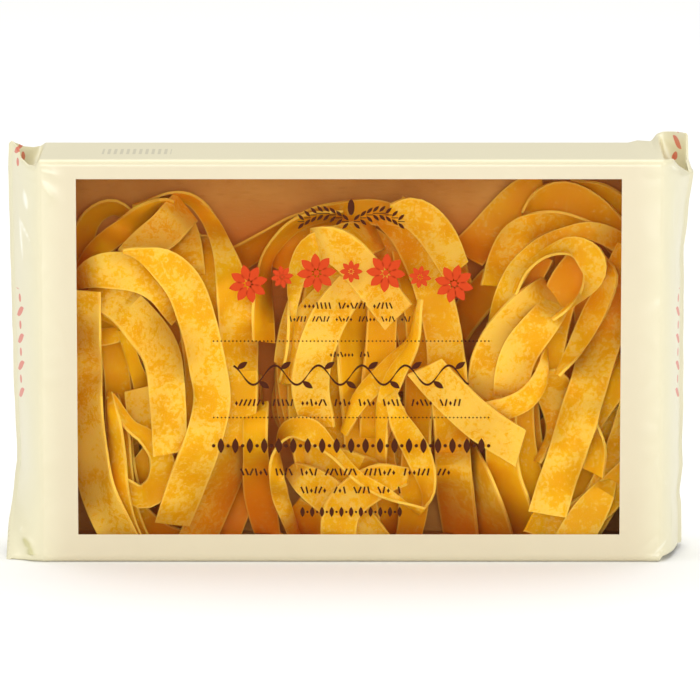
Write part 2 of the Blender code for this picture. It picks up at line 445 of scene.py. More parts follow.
def deep_turn(chance):
    wide, tall = chance.uniform(0.35, 0.8), chance.uniform(0.4, 0.8)
    shift, rise = chance.uniform(-0.1, 0.1), chance.uniform(0.42, 0.52)
    start, sweep = chance.uniform(0, 2 * math.pi), chance.uniform(2.6, 5.0)
    roll = chance.uniform(25, 66)
    turn = []
    for share in np.linspace(0.0, 1.0, 9):
        angle = start - sweep * share
        lean = roll + 22 * math.sin(2 * angle + start)
        turn.append((shift + wide * math.cos(angle), rise + 0.5 * tall * math.sin(angle), lean))
    return turn


def loose_strand(chance):
    lean = chance.uniform(-30, 60)
    heights = (0.02, 0.22, 0.42, 0.62, 0.82)
    return [(chance.uniform(-0.5, 0.5), up, lean + chance.uniform(-25, 25)) for up in heights]


for node, seed in NESTS.items():
    chance = np.random.default_rng(seed)
    for count, route in ((STRANDS, loose_strand), (DEEP_TURNS, deep_turn), (STRANDS, loose_strand)):
        for _ in range(count):
            turn = in_nest(node, route(chance))
            lay_ribbon(node + "_deep_turns", turn, chance.uniform(0.1, 0.7), DEEP_FLATNESS)
print("front of the deep turns, mm:", round(heap.front.min() / MM, 1))

# %% [markdown]
# ## The turns in front
#
# These give each nest its face, so they are laid one by one, from the back to the front. Each line is one
# ribbon: its share of flour, its points as (across, up, roll), the first two in hundredths of the nest's half
# width and of its height, and how far its ends are tucked back into the heap. The last turn crosses from the
# middle nest to the right one.

# %% The left nest
FIRST_TUCKED, LAST_TUCKED, BOTH_TUCKED = (9 * MM, 0.0), (0.0, 9 * MM), (9 * MM, 9 * MM)
LEFT_TURNS = [
    (0.2, [(60, 78, 40), (89, 82, 44), (115, 86, 46), (149, 91, 56), (183, 93, 72)]),
    (0.1, [(-85, 80, 55), (-70, 92, 58), (-45, 96, 62), (-20, 92, 72)]),
    (0.3, [(30, 82, 40), (42, 66, 20), (50, 48, 12), (42, 28, 20)]),
    (0.2, [(-55, 66, 55), (-40, 50, 40), (-38, 32, 50), (-20, 12, 60)]),
    (0.4, [(-68, 50, 78), (-66, 30, 66), (-52, 14, 58), (-30, 3, 60)]),
    (0.3, [(95, 50, 40), (100, 30, 50), (85, 12, 40), (60, -2, 30)]),
    (0.3, [(-30, 12, 30), (0, 4, 20), (35, 0, 20)]),
    (0.5, [(45, 88, 84), (50, 87, 68), (56, 78, 40), (62, 60, 12), (66, 40, 8)]),
    (0.7, [(84, 36, 30), (74, 24, 8), (58, 13, 4), (40, 2, 6), (34, -3, 6)]),
    (0.5, [(-24, 96, 84), (15, 99, 80), (42, 97, 76), (65, 88, 58), (80, 76, 34), (87, 60, 8),
           (88, 44, 0), (82, 30, 6)]),
    (0.1, [(-85, 74, 75), (-66, 82, 58), (-42, 88, 48), (-15, 93, 50), (8, 96, 66), (20, 97, 88)]),
    (0.7, [(20, 92, 30), (28, 87, 6), (32, 81, 0), (35, 74, 6)], BOTH_TUCKED),
    (0.9, [(31, 96, 0), (11, 90, 6), (-10, 86, 25), (-34, 83, 70)], FIRST_TUCKED),
    (0.4, [(-66, 68, 66), (-46, 66, 64), (-33, 63.5, 66), (-36, 61, 66), (-52, 60, 66), (-66, 60, 70)]),
    (0.3, [(-30, 62, 70), (-18, 50, 62), (-5, 40, 50), (5, 25, 60)]),
    (0.8, [(-14, 46, 24), (-11, 40, 0), (-10, 30, 5)], LAST_TUCKED),
    (0.3, [(-42, 44, 84), (-33, 34, 68), (-32, 24, 66), (-30, 15, 64), (-18, 6, 64), (-4, 0, 66)],
           FIRST_TUCKED),
    (0.5, [(-46, 44, -84), (-26, 36, -74), (-8, 32.5, -60), (7, 27, -48), (6, 20, -46), (-5, 16.5, -50),
           (-18, 16, -56), (-32, 19, -66)]),
    (0.4, [(-46, 45, 82), (-41, 37, 66), (-40, 28, 62), (-38, 19, 60), (-30, 10, 60), (-18, 2, 62)],
           FIRST_TUCKED),
    (0.8, [(-66, 74, 50), (-32, 69, 5), (-8, 62, 0), (8, 54, 14), (14, 42, 18), (17, 28, 18)]),
    (0.7, [(-90, 74, 80), (-62, 78, 40), (-36, 78.5, 6), (-10, 77, 8), (10, 73, 25), (26, 66, 48)],
           LAST_TUCKED),
    (0.9, [(-74, 73, 0), (-74, 50, 0), (-70, 32, 4), (-60, 18, 8), (-40, 6, 14), (-24, -2, 18)]),
    (0.7, [(-31, 84, 88), (-10, 83, 70), (12, 80, 34), (32, 74, 6), (46, 64, 0), (56, 52, 0), (60, 42, 0),
           (50, 31, 6), (34, 20, 14), (17, 8, 22)]),
]

# %% The middle nest
MIDDLE_TURNS = [
    (0.1, [(-75, 80, 30), (-50, 92, 35), (-10, 96, 45), (30, 96, 50), (70, 90, 50)]),
    (0.1, [(-92, 60, 60), (-92, 80, 66), (-75, 89, 72), (-50, 94, 76), (-10, 96, 78)]),
    (0.3, [(45, 97, 40), (85, 90, 30), (105, 76, 35)]),
    (0.3, [(-100, 42, 50), (-100, 22, 40), (-94, 10, 40), (-85, 0, 50)], FIRST_TUCKED),
    (0.2, [(-10, 85, 10), (0, 65, 5), (5, 45, 10), (10, 20, 20)]),
    (0.2, [(30, 75, 40), (26, 50, 25), (20, 30, 40)], BOTH_TUCKED),
    (0.2, [(55, 85, 40), (70, 60, 30), (65, 35, 40), (60, 10, 40), (50, -3, 40)]),
    (0.6, [(30, 95, 60), (55, 90, 30), (75, 79, 8), (90, 64, 0), (96, 50, 4), (100, 36, 12),
           (103, 20, 16), (110, 6, 18), (114, -3, 18)]),
    (0.7, [(35, 96, 60), (62, 96, 34), (85, 90, 18), (105, 80, 35)]),
    (0.4, [(66, 70, 80), (60, 60, 68), (35, 52, 62), (8, 44, 62), (-10, 34, 75)]),
    (0.4, [(68, 72, 84), (62, 60, 76), (42, 50, 66), (30, 40, 66), (28, 24, 75)], LAST_TUCKED),
    (0.4, [(-65, 12, 30), (-30, 6, 20), (10, 0, 20)]),
    (0.3, [(-60, 26, 30), (-20, 25, 10), (15, 22, 20)], BOTH_TUCKED),
    (0.6, [(-65, 24, 60), (-35, 18, 15), (0, 10, 10), (30, 0, 25)], FIRST_TUCKED),
    (0.5, [(55, 22, 60), (20, 20, 15), (-12, 12, 10), (-16, -2, 20)]),
    (0.7, [(-8, 78, 60), (-30, 73, 56), (-50, 66, 52), (-62, 56, 66), (-66, 48, 80)]),
    (0.6, [(25, 90, 30), (-10, 88, 0), (-40, 86, -30), (-56, 80, -62), (-62, 70, -78), (-66, 58, -80),
           (-72, 48, -80)], BOTH_TUCKED),
    (0.9, [(0, 77, 40), (-25, 67, 8), (-40, 56, 0), (-44, 46, 5), (-36, 36, 30)]),
    (0.5, [(36, 48, 74), (46, 38, 58), (66, 28, 50), (76, 18, 66), (70, 12, 86)], FIRST_TUCKED),
    (0.6, [(70, 12, 100), (35, 17, 80), (5, 22, 76), (-20, 29, 66), (-45, 35, 50), (-68, 35, 70),
           (-80, 28, 100), (-76, 17, 112), (-64, 6, 112), (-54, -3, 112)]),
    (0.9, [(-45, 87, 20), (-20, 87, 6), (6, 81, 2), (45, 67, 0)], FIRST_TUCKED),
]

# %% The right nest
RIGHT_TURNS = [
    (0.2, [(-60, 75, 30), (-85, 68, 30), (-105, 60, 40)]),
    (0.3, [(-10, 100, 20), (-34, 97, 10), (-58, 91, 5), (-76, 86, 5), (-95, 81, 10)]),
    (0.2, [(20, 98, 40), (60, 96, 36), (100, 86, 40)]),
    (0.5, [(-30, 91, 60), (-10, 95.5, 30), (10, 97, 22), (32, 95, 22), (55, 90.5, 25), (80, 83, 35),
           (100, 74, 45)]),
    (0.3, [(30, 80, 30), (45, 60, 20), (50, 35, 20), (20, 10, 30)]),
    (0.3, [(90, 80, 60), (95, 60, 50), (85, 35, 40), (60, 15, 45)]),
    (0.2, [(30, 80, 40), (10, 72, 20), (0, 62, 30), (-10, 50, 40)]),
    (0.3, [(80, 53, 40), (62, 46, 26), (35, 35, 40)]),
    (0.6, [(100, 50, 20), (80, 32, 14), (50, 14, 14), (15, 0, 24)]),
    (0.2, [(-58, 42, 40), (-57, 28, 30), (-53, 20, 30), (-42, 12, 34), (-30, 4, 50)]),
    (0.5, [(90, 25, 44), (50, 14, 28), (10, 8, 14), (-25, 10, 30)]),
    (0.6, [(-96, 32, 70), (-86, 20, 30), (-68, 8, 10), (-54, -3, 10)]),
    (0.6, [(52, 88, -80), (10, 90.8, -60), (-20, 89.7, -46), (-40, 86.5, -40), (-54, 80.5, -36),
           (-64, 73, -38)]),
    (0.6, [(100, 78, 60), (70, 85, 60), (40, 88, 62), (12, 87, 62), (-15, 84, 60), (-38, 78, 60),
           (-56, 70, 64), (-70, 60, 80), (-76, 48, 86)]),
    (0.8, [(-8, 50, 70), (0, 45, 15), (2, 38, 50), (-3, 32, 72), (-18, 25, 80)]),
    (0.5, [(44, 37, 88), (47, 29, 64), (42, 22, 58)]),
    (0.7, [(62, 20, 72), (48, 15, 44), (30, 8, 14), (12, 0, 10)], FIRST_TUCKED),
    (0.7, [(80, 84, 60), (72, 74, 25), (62, 64, 6), (46, 53, 0), (32, 42, 0), (20, 32, 0), (6, 22, 0),
           (-8, 11, 0)]),
    (0.5, [(52, 81, 74), (59, 76, 60), (52, 70, 60), (40, 64, 58), (22, 56, 62), (2, 49, 80)],
           FIRST_TUCKED),
    (0.9, [(0, 72, 30), (-20, 69, 14), (-42, 64, 5), (-63, 57, 5), (-74, 49, 20), (-74, 38, 40)],
           BOTH_TUCKED),
    (0.8, [(2, 68, 50), (-18, 62, 26), (-38, 55, 5), (-46, 48, 8), (-46, 40, 20)], BOTH_TUCKED),
    (0.7, [(-10, 56, -86), (-13, 51, -70), (-19, 46.5, -58), (-32, 42.5, -54), (-52, 40, -58),
           (-72, 39, -64)], FIRST_TUCKED),
    (0.6, [(-45, 71, -88), (-34, 77, -80), (-10, 82, -74), (18, 84, -60), (38, 81, -48), (43, 76, -56),
           (33, 71, -74), (14, 67, -84), (-3, 64, -88)]),
]
CROSSING_TURN = (1.0, [(72, 53, 12), (95, 46, 0), (130, 37, 0), (170, 30, 3)])


# %% Lay the turns in front
def lay_front_turns(node, turns):
    for flour, route, *tucks in turns:
        points = in_nest(node, [(across / 100, up / 100, roll) for across, up, roll in route])
        lay_ribbon(node + "_front_turns", points, flour, FRONT_FLATNESS, *tucks)


lay_front_turns("nest_left", LEFT_TURNS)
lay_front_turns("nest_right", RIGHT_TURNS)
lay_front_turns("nest_middle", MIDDLE_TURNS + [CROSSING_TURN])
loose, pressed = (round(depth / MM, 1) for depth in (heap.front.min(), HEAP_FRONT))
print("front of the loose heap, mm:", loose, "pressed to", pressed)

# %% [markdown]
# ## From laid ribbons to meshes
#
# Each ribbon starts as a flat grid, and its points move to where the ribbon lies. The film presses the whole
# heap, so depths are scaled place by place, which keeps every ribbon in front of the one it rests on.
# Solidify makes the wall.


# %% Bend a flat grid along each ribbon
def bend_ribbons(ribbons):
    builder = bmesh.new()
    across = builder.verts.layers.float.new("across")
    floury = builder.verts.layers.float.new("flour")
    for x, y, z, flour in ribbons:
        y = heap.pressed(x, y, z)
        z = np.maximum(z - SAG * (y - HEAP_FRONT), tray_low.z + SIDE_ROOM)
        stations, lanes = (len(x) - 1) // 2, (LANES - 1) // 2
        strip = bmesh.ops.create_grid(builder, x_segments=stations, y_segments=lanes, size=0.5)["verts"]
        for vert in strip:
            i = 2 * round((vert.co.x + 0.5) * stations)
            j = 2 * round((vert.co.y + 0.5) * lanes)
            vert[across] = j / (LANES - 1)
            vert[floury] = flour
            vert.co = (x[i, j], y[i, j], z[i, j])
    return builder


for piece_name, ribbons in laid.items():
    turns = add_piece(piece_name, bend_ribbons(ribbons), egg_pasta, RIBBON_THICK, 0.0)
    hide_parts("_".join(piece_name.split("_")[:2]))

# %% [markdown]
# ## The board tray
#
# The tray is uncoated brown board: short fibres, soft clouds and no shine. The solid model's shape is right,
# so the tray keeps it and only takes a finish. At the heights of the nests the board is painted warmer, as
# painted light that has come off the pasta.


# %% The board's finish
def board_finish():
    finish = Finish("kraft_board", Specular_IOR_Level=0.2)
    fibres = finish.speckle(900.0, 5.0, 0.7, (0.25, 1.0, 1.0))
    clouds = finish.speckle(45.0, 3.0)
    brown = finish.mix(finish.ramp(clouds, 0.3, 0.7), tint(207, 141, 60), tint(219, 156, 72))
    z = finish.axis("Z")
    # Painted bounce light: at the heights of the nests the board is painted a warmer orange.
    painted_bounce_band = finish.ramp(z, 16 * MM, 34 * MM) - finish.ramp(z, 104 * MM, 124 * MM)
    painted_bounce_brown = finish.mix(painted_bounce_band, brown, tint(222, 128, 42))
    colour = finish.mix(finish.ramp(fibres, 0.52, 0.72) * 0.35, painted_bounce_brown, tint(180, 106, 40))
    return finish.shade(Base_Color=colour, Roughness=0.72 + fibres * 0.15, Normal=finish.bumps(fibres))


kraft_board = board_finish()
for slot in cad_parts["board_tray"].material_slots:
    slot.material = kraft_board

# %% [markdown]
# ## The printed film
#
# The wrap is one tube. A grid of film is bent round the body and past its ends, where the front and back
# slant in to the seal, the top and bottom tuck in between them, and the seal folds back as a fin. Soft
# creases run where the film was pulled tight at the corners. The grid has lines on the window's edges, so the
# window lifts out cleanly.

# %% Sizes of the wrap
SEAL_REACH = 11.0 * MM
SEAL_HALF = 0.35 * MM
FIN_LENGTH = 9.0 * MM
FIN_BEND = math.radians(88)
FIN_RADIUS = 0.8 * MM
TUCK_DEPTH = 17.0 * MM
FILM_CORNER = 2.0 * MM
FILM_THICK = 0.15 * MM
# The ends curve in like a power of the distance: 1 would be a straight slant with a sharp corner.
END_CURVE = 1.5
# How far the foot of the left and of the right seal is pushed forward.
SEAL_FORWARD = {-1: 20.0 * MM, 1: 0.0}
# How far the edges of the tube rise past the body by each end, in millimetres: (outwards from the body, up).
FRONT_TOP = {
    -1: [(0, 0), (1.5, -2.4), (4, -2.6), (7, -1), (8, 2.2), (11, 3.6), (13, 2), (21, 1)],
    1: [(0, 0), (4, -0.5), (6, -3), (11, -7.7)],
}
BACK_TOP = {
    -1: [(0, 0), (1.5, -0.9), (4, -0.9), (7, 0.3), (11, 3.6), (13, 2), (21, 1)],
    1: [(-10, 0), (-7, 0.8), (-2, 0.5), (0, 3.1), (2, 4.2), (9, 6), (11, 6.3), (13, 4.5), (21, 3)],
}
BOTTOM = {-1: [(0, 0), (11, 0)], 1: [(-0.5, 0), (1, 1.7), (11, 2.1)]}
# How far the seal stands out at heights up the pack, in millimetres: (height, out).
SEAL_SWAY = {
    -1: [(0, 0.7), (12, 0.3), (22, -1.2), (32, -2.3), (58, -1.4), (93, -0.8), (128, -0.1), (149, -0.4)],
    1: [(0, -3.4), (16, -3.6), (20, -4.2), (30, -3.2), (108, -3.3), (125, -1.6), (134, -0.2), (138, -1.6),
        (149, -1.9)],
}
print("window and its thickness, mm:", [round(size / MM, 1) for size in (pane_high - pane_low)])


# %% Where the grid's lines fall
def lines(*stops):
    """Values from the first stop to the last, with the given number of steps between neighbours."""
    values = [stops[0]]
    for count, stop in zip(stops[1::2], stops[2::2]):
        values += list(np.linspace(values[-1], stop, count + 1)[1:])
    return values


TIP = SEAL_REACH + FIN_RADIUS * FIN_BEND + FIN_LENGTH
NEAR_END = 8 * MM
LEFT_END = lines(-HALF_LENGTH - TIP, 10, -HALF_LENGTH - SEAL_REACH, 28, -HALF_LENGTH, 14,
                 NEAR_END - HALF_LENGTH)
RIGHT_END = [-place for place in reversed(LEFT_END)]
ALONG = LEFT_END + lines(LEFT_END[-1], 6, pane_low.x, 36, pane_high.x, 6, RIGHT_END[0])[1:-1] + RIGHT_END
FRONT_RUN = HEIGHT - 2 * FILM_CORNER
SILL, LINTEL = ((edge.z - FILM_CORNER) / FRONT_RUN for edge in (pane_low, pane_high))
ROUND = lines(0.0, 12, SILL, 100, LINTEL, 12, 1.0, 4, 2.0, 24, 3.0, 4, 4.0, 44, 5.0, 4, 6.0, 24, 7.0, 4, 8.0)
print("grid of film:", len(ALONG), "by", len(ROUND))


# %% The outline across the pack
def corner_point(depth, highs, low, corner, turn):
    radius = min(FILM_CORNER, 0.6 * depth)
    angle = math.pi - (corner + turn) * math.pi / 2
    centre_y = (-1, 1, 1, -1)[corner] * (depth - radius)
    centre_z = (highs[0] - radius, highs[1] - radius, low + radius, low + radius)[corner]
    return centre_y + radius * math.cos(angle), centre_z + radius * math.sin(angle)


def outline_point(where, depth, highs, low, tuck):
    """(y, z) on the outline: front up, top back, back down and bottom forward, with a corner between each.

    highs holds the front and the back sheet's height, and tuck is how far the other two sides dip in.
    """
    part = min(int(where), 7)
    share = where - part
    if part % 2:
        return corner_point(depth, highs, low, part // 2, share)
    radius = min(FILM_CORNER, 0.6 * depth)
    across = (depth - radius) * (2 * share - 1)
    dip = tuck * max(0.0, math.cos(math.pi / 2 * (2 * share - 1))) ** 0.8
    if part == 0:
        return -depth, low + radius + share * (highs[0] - low - 2 * radius)
    if part == 2:
        return across, highs[0] + share * (highs[1] - highs[0]) - dip
    if part == 4:
        return depth, highs[1] - radius - share * (highs[1] - low - 2 * radius)
    return -across, low + dip


# %% [markdown]
# A crease is a sharp ridge or groove along a short line on the front. Its two ends are measured outwards and
# upwards from the nearest corner of the body. Between the creases the loose film is crumpled by noise whose
# folds are sharp on one side, because film bends along lines and not in waves.

# %% Creases by the corners
# (side, upper or lower corner, first end, second end, height, half width), in millimetres
CREASES = [
    (-1, 1, (5, -2), (-6, -5.5), 0.35, 1.3),
    (-1, 1, (0, -7), (-6, -15), -0.6, 2.0),
    (-1, 1, (6, -11), (4.5, -19), 1.2, 1.3),
    (-1, 1, (8, -22), (6.5, -38), 1.1, 0.8),
    (-1, 1, (8, -22), (2.5, -31), 0.9, 0.8),
    (-1, 1, (9, -7), (7, -7.5), -0.7, 1.0),
    (-1, 0, (7, 8), (4.5, 5), -1.5, 1.2),
    (-1, 0, (4.5, 5), (3, -1), -1.8, 1.3),
    (-1, 0, (8, 9.5), (7, 11.5), 1.0, 1.0),
    (1, 1, (9, -8), (2, 0), 1.0, 1.3),
    (1, 1, (6, -6), (9.5, -7.5), -1.4, 1.5),
    (1, 1, (4, -4), (4.5, -35), 0.5, 1.6),
    (1, 0, (1, 30), (2.5, 26), 0.6, 1.2),
    (1, 0, (5, 22), (5, 5), -0.7, 1.4),
    (1, 0, (-3, 2), (4, 9), 0.8, 1.3),
]


def crease_lift(side, reach, z):
    lift = 0.0
    here = Vector((reach, z))
    for crease_side, upper, first, second, height, half in CREASES:
        if crease_side == side:
            corner = Vector((0.0, HEIGHT * upper))
            start = Vector(first) * MM + corner
            run = Vector(second) * MM + corner - start
            share = max(0.0, min(1.0, (here - start).dot(run) / run.length_squared))
            away = (here - start - run * share).length / (half * MM)
            lift += height * MM * math.exp(-away) * math.sin(math.pi * min(0.95, max(0.05, share))) ** 0.5
    return lift


def crumple(place, scale):
    """Folds with a sharp ridge: 1 along the ridge, and lower the further from it."""
    return 1.0 - abs(noise.noise(place * scale)) * 3.0


# %% Where each point of the film goes
def half_depth(reach):
    slant = max(0.0, min(1.0, (reach + 0.5 * MM) / (SEAL_REACH + 0.5 * MM)))
    return HALF_DEPTH - (HALF_DEPTH - SEAL_HALF) * slant ** END_CURVE


def seal_sway(side, z):
    heights, outs = zip(*SEAL_SWAY[side])
    rough = 0.35 * noise.noise(Vector((side * 3.0, 0.0, z * 90.0)))
    return (float(np.interp(z / MM, heights, outs)) + rough) * MM


def edge_rises(side, reach):
    """How far the front's top edge, the back's top edge and the lower edge rise past the body."""
    return [float(np.interp(reach / MM, *zip(*edge[side]))) * MM for edge in (FRONT_TOP, BACK_TOP, BOTTOM)]


def loose_swell(here, reach, slant):
    """How far the film stands off the body: hardly at all, but more where it is slack near the ends."""
    slack = max(0.0, min(1.0, (reach + 9 * MM) / (13 * MM))) * (1.0 - slant ** 6)
    swell = slack * (0.45 * crumple(here, 55.0) + 0.2 * crumple(here, 130.0) - 0.3) * MM
    return swell + 0.1 * MM * noise.noise(here * 30.0)


def fin_point(side, across, z, fin, forward):
    """Past the seal the sheets are one flat fin, bent back round a small radius."""
    bend = min(fin / FIN_RADIUS, FIN_BEND)
    straight = max(0.0, fin - FIN_RADIUS * FIN_BEND)
    loose = min(1.0, straight / (3 * MM))
    wave = 0.6 * MM * noise.noise(Vector((side * 5.0, straight * 60.0, z * 40.0))) * loose
    x = HALF_LENGTH + SEAL_REACH + FIN_RADIUS * math.sin(bend) + straight * math.cos(FIN_BEND)
    x += seal_sway(side, z) + wave - across * math.sin(bend)
    y = FIN_RADIUS * (1 - math.cos(bend)) + straight * math.sin(FIN_BEND) + across * math.cos(bend) - forward
    return Vector((side * x, y, max(0.0, z)))


def film_point(along, around):
    """Where the film's point goes, and how high the crease through it is."""
    side = 1 if along > 0 else -1
    reach = abs(along) - HALF_LENGTH
    slant = max(0.0, min(1.0, reach / SEAL_REACH))
    front_rise, back_rise, low = edge_rises(side, reach)
    depth = half_depth(reach)
    closing = math.sqrt(max(0.0, 1.0 - (depth / HALF_DEPTH) ** 2))
    still_open = max(0.0, min(1.0, (depth - SEAL_HALF) / (5 * MM), reach / (2 * MM)))
    tuck = TUCK_DEPTH * closing * still_open
    across, z = outline_point(around, depth, (HEIGHT + front_rise, HEIGHT + back_rise), low, tuck)
    fold = crease_lift(side, reach, z) * (1.0 - slant ** 6) if across < 0 and 0 < around < 1 else 0.0
    swell = min(loose_swell(Vector((along, across * 0.4, z)), reach, slant) + fold, 0.9 * MM)
    forward = SEAL_FORWARD[side] * slant ** 1.5 * max(0.0, 1.0 - z / (34 * MM)) ** 1.5
    if reach > SEAL_REACH:
        return fin_point(side, across, z, reach - SEAL_REACH, forward), fold
    y = across + math.copysign(swell, across) if depth > SEAL_HALF * 1.5 else across
    x = side * (abs(along) + seal_sway(side, z) * slant ** 2)
    return Vector((x, y - forward, max(0.0, z))), fold


# %% [markdown]
# ## The film's ink
#
# The film is printed a warm cream, a little pinker round the window. Its slanted ends are painted lighter as
# painted light, and its top side darker as painted shade. Rows of red leaves and dots run up the slanting
# ends, in front of the seal and behind it, and the top side has a row of thin grey bars. Masks on Object
# coordinates draw them, so nothing is stuck on. Along a sharp crease the cream is painted pale as a painted
# glint, and in a deep fold it is painted olive as painted shade. The mesh says where these are. The fins have
# the fine ribs of the crimping jaws, drawn as a bump.


# %% The cream, with its painted light, painted shade and painted glints
def cream_sheet(finish, clouds):
    # Painted light: the slanted ends are painted lighter than the pinker front, to even out their shade.
    pink_front_painted_lit_ends = 1.0 - finish.ramp(abs(finish.axis("X")), HALF_LENGTH - 11 * MM, HALF_LENGTH + 4 * MM)
    # Painted shade: the top side is painted a darker, greyer cream.
    painted_top_shade = finish.ramp(finish.axis("Z"), HEIGHT - 3 * MM, HEIGHT)
    sheet = finish.mix(pink_front_painted_lit_ends * 0.7 + clouds * 0.2, tint(222, 216, 183), tint(205, 192, 162))
    sheet = finish.mix(painted_top_shade * 0.8, sheet, tint(223, 215, 178))
    fold = finish.attribute("fold")
    # Painted glint: along a sharp crease the cream is painted near white.
    painted_crease_glint = finish.mix(finish.ramp(fold, 0.35, 1.0) * 0.7, sheet, tint(250, 249, 236))
    # Painted shade: in a deep fold the cream is painted olive.
    return finish.mix(finish.ramp(fold * -1.0, 0.25, 1.2) * 0.7, painted_crease_glint, tint(186, 180, 120))


# %% The red leaves and dots on the ends
LEAF_PITCH, LEAF_HALF, LEAF_SWELL, LEAF_LEAN = 4.8 * MM, 4.6 * MM, 1.5 * MM, 0.4
DOT_RADIUS = 1.5 * MM
ROW_FROM_MIDDLE = 8.5 * MM
ROW_LOW, ROW_HIGH, EAR_ROW = 54 * MM, 94 * MM, HEIGHT - 5.5 * MM
PRINT_EDGE = 0.4 * MM
SEAL_AT = HALF_LENGTH + SEAL_REACH


def red_marks(finish):
    z, out = finish.axis("Z"), abs(finish.axis("X"))
    centre = abs(finish.axis("Y")) - ROW_FROM_MIDDLE
    step = finish.node("ShaderNodeMath", {"operation": "WRAP"}, {0: z, 1: LEAF_PITCH, 2: -LEAF_PITCH})
    share = centre / LEAF_HALF
    leaves = abs(step - centre * LEAF_LEAN) / LEAF_SWELL + share * share
    from_row, from_leaf = centre / DOT_RADIUS, (abs(step) - LEAF_PITCH) / DOT_RADIUS
    dots = from_row * from_row + from_leaf * from_leaf
    marks = 2.0 - finish.ramp(leaves, 0.9, 1.1) - finish.ramp(dots, 0.8, 1.2)
    above, below = (finish.ramp(z, height, height + 0.5 * MM) for height in (ROW_LOW, ROW_HIGH))
    in_rows = above * (1.0 - below) + finish.ramp(z, EAR_ROW, EAR_ROW + 0.5 * MM)
    slope_from, slope_to = HALF_LENGTH + 3 * MM, SEAL_AT
    started, ended = (finish.ramp(out, place, place + PRINT_EDGE) for place in (slope_from, slope_to))
    return marks * in_rows * (started - ended)


# %% The grey bars on top
BAR_PITCH = 1.1 * MM
BARS_X, BARS_HALF_LENGTH, BARS_Y, BARS_HALF_WIDTH = -75 * MM, 12 * MM, -2 * MM, 7 * MM


def grey_bars(finish):
    x, y, z = (finish.axis(name) for name in "XYZ")
    bar = finish.node("ShaderNodeMath", {"operation": "PINGPONG"}, {0: x, 1: BAR_PITCH})
    on_top = finish.ramp(z, HEIGHT - 0.6 * MM, HEIGHT - 0.3 * MM)
    span = 1.0 - finish.ramp(abs(x - BARS_X), BARS_HALF_LENGTH, BARS_HALF_LENGTH + 0.2 * MM)
    strip = 1.0 - finish.ramp(abs(y - BARS_Y), BARS_HALF_WIDTH, BARS_HALF_WIDTH + 0.2 * MM)
    return finish.ramp(bar, 0.5 * MM, 0.65 * MM) * on_top * span * strip


# %% The film's finish
# The ribs of the crimp, in radians a metre.
CRIMP_RATE = 5200.0


def film_finish():
    finish = Finish("printed_film", Specular_IOR_Level=0.5, Coat_Weight=0.3, Coat_Roughness=0.16)
    clouds = finish.speckle(28.0, 3.0)
    inked = finish.mix(grey_bars(finish) * 0.35, cream_sheet(finish, clouds), tint(128, 120, 104))
    colour = finish.mix(red_marks(finish) * 0.9, inked, tint(206, 74, 38))
    crimp = finish.node("ShaderNodeMath", {"operation": "SINE"}, {0: finish.axis("Y") * CRIMP_RATE})
    on_fin = finish.ramp(abs(finish.axis("X")), SEAL_AT + 0.6 * MM, SEAL_AT + 1.4 * MM)
    relief = finish.bumps(finish.speckle(420.0, 4.0) * 0.3 + crimp * on_fin)
    return finish.shade(Base_Color=colour, Roughness=0.34 + clouds * 0.12, Normal=relief)


printed_film = film_finish()


# %% Wrap the film round the body
def bend_film():
    columns, rows = len(ALONG) - 1, len(ROUND) - 1
    builder = new_grid(columns, rows)
    creased = builder.verts.layers.float.new("fold")
    window = []
    for face in builder.faces:
        middle = face.calc_center_median()
        along = np.interp((middle.x + 0.5) * columns, range(columns + 1), ALONG)
        around = np.interp((middle.y + 0.5) * rows, range(rows + 1), ROUND)
        z = FILM_CORNER + around * FRONT_RUN
        if around < 1 and pane_low.z < z < pane_high.z and pane_low.x < along < pane_high.x:
            window.append(face)
    for vert in builder.verts:
        column = round((vert.co.x + 0.5) * columns)
        row = round((vert.co.y + 0.5) * rows)
        vert.co, fold = film_point(ALONG[column], ROUND[row])
        # The crease height also sets the painted glints and the painted fold shade in the film's colour.
        vert[creased] = fold / MM
    bmesh.ops.delete(builder, geom=window, context="FACES")
    bmesh.ops.remove_doubles(builder, verts=builder.verts, dist=0.01 * MM)
    bmesh.ops.recalc_face_normals(builder, faces=builder.faces)
    return builder


film = add_piece("film_wrap", bend_film(), printed_film, FILM_THICK, sharp=70)
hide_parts("wrap_film")

# %% [markdown]
# The long seam on the back is a flap of two layers laid flat. It is a narrow strip of film that wanders a
# little.


# %% The back seam
def back_seam():
    builder = new_grid(120, 6)
    for vert in builder.verts:
        x = vert.co.x * 2 * (HALF_LENGTH - 2 * MM)
        lift = 0.25 * MM + 0.25 * MM * abs(noise.noise(Vector((x * 40.0, 4.0, vert.co.y * 3.0))))
        vert.co = (x, HALF_DEPTH + lift, HEIGHT / 2 + vert.co.y * 12 * MM + 0.4 * MM * math.sin(x * 30.0))
    bmesh.ops.reverse_faces(builder, faces=builder.faces)
    return builder


add_piece("back_seam", back_seam(), printed_film, FILM_THICK)

# %% [markdown]
# ## The clear window
#
# The window is the same film without ink. It lets nearly all light through and gives a faint sheen, so its
# alpha is low and constant. Slight ripples break up what it mirrors.


# %% The window
def window_sheet():
    builder = new_grid(70, 48)
    middle, size = (pane_low + pane_high) / 2, pane_high - pane_low
    for vert in builder.verts:
        x, z = middle.x + vert.co.x * size.x, middle.z + vert.co.y * size.z
        rim = 1.0 - max(abs(vert.co.x), abs(vert.co.y)) * 2
        lift = 0.35 * MM * min(1.0, rim * 6) * noise.noise(Vector((x * 26.0, 1.0, z * 26.0)))
        vert.co = (x, -HALF_DEPTH + lift, z)
    bmesh.ops.recalc_face_normals(builder, faces=builder.faces)
    return builder


clear_film = Finish("clear_film", Base_Color=tint(120, 112, 96), Roughness=0.1, Alpha=0.012).material
pane = add_piece("window_sheet", window_sheet(), clear_film, 0.06 * MM)
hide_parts("window_pane")

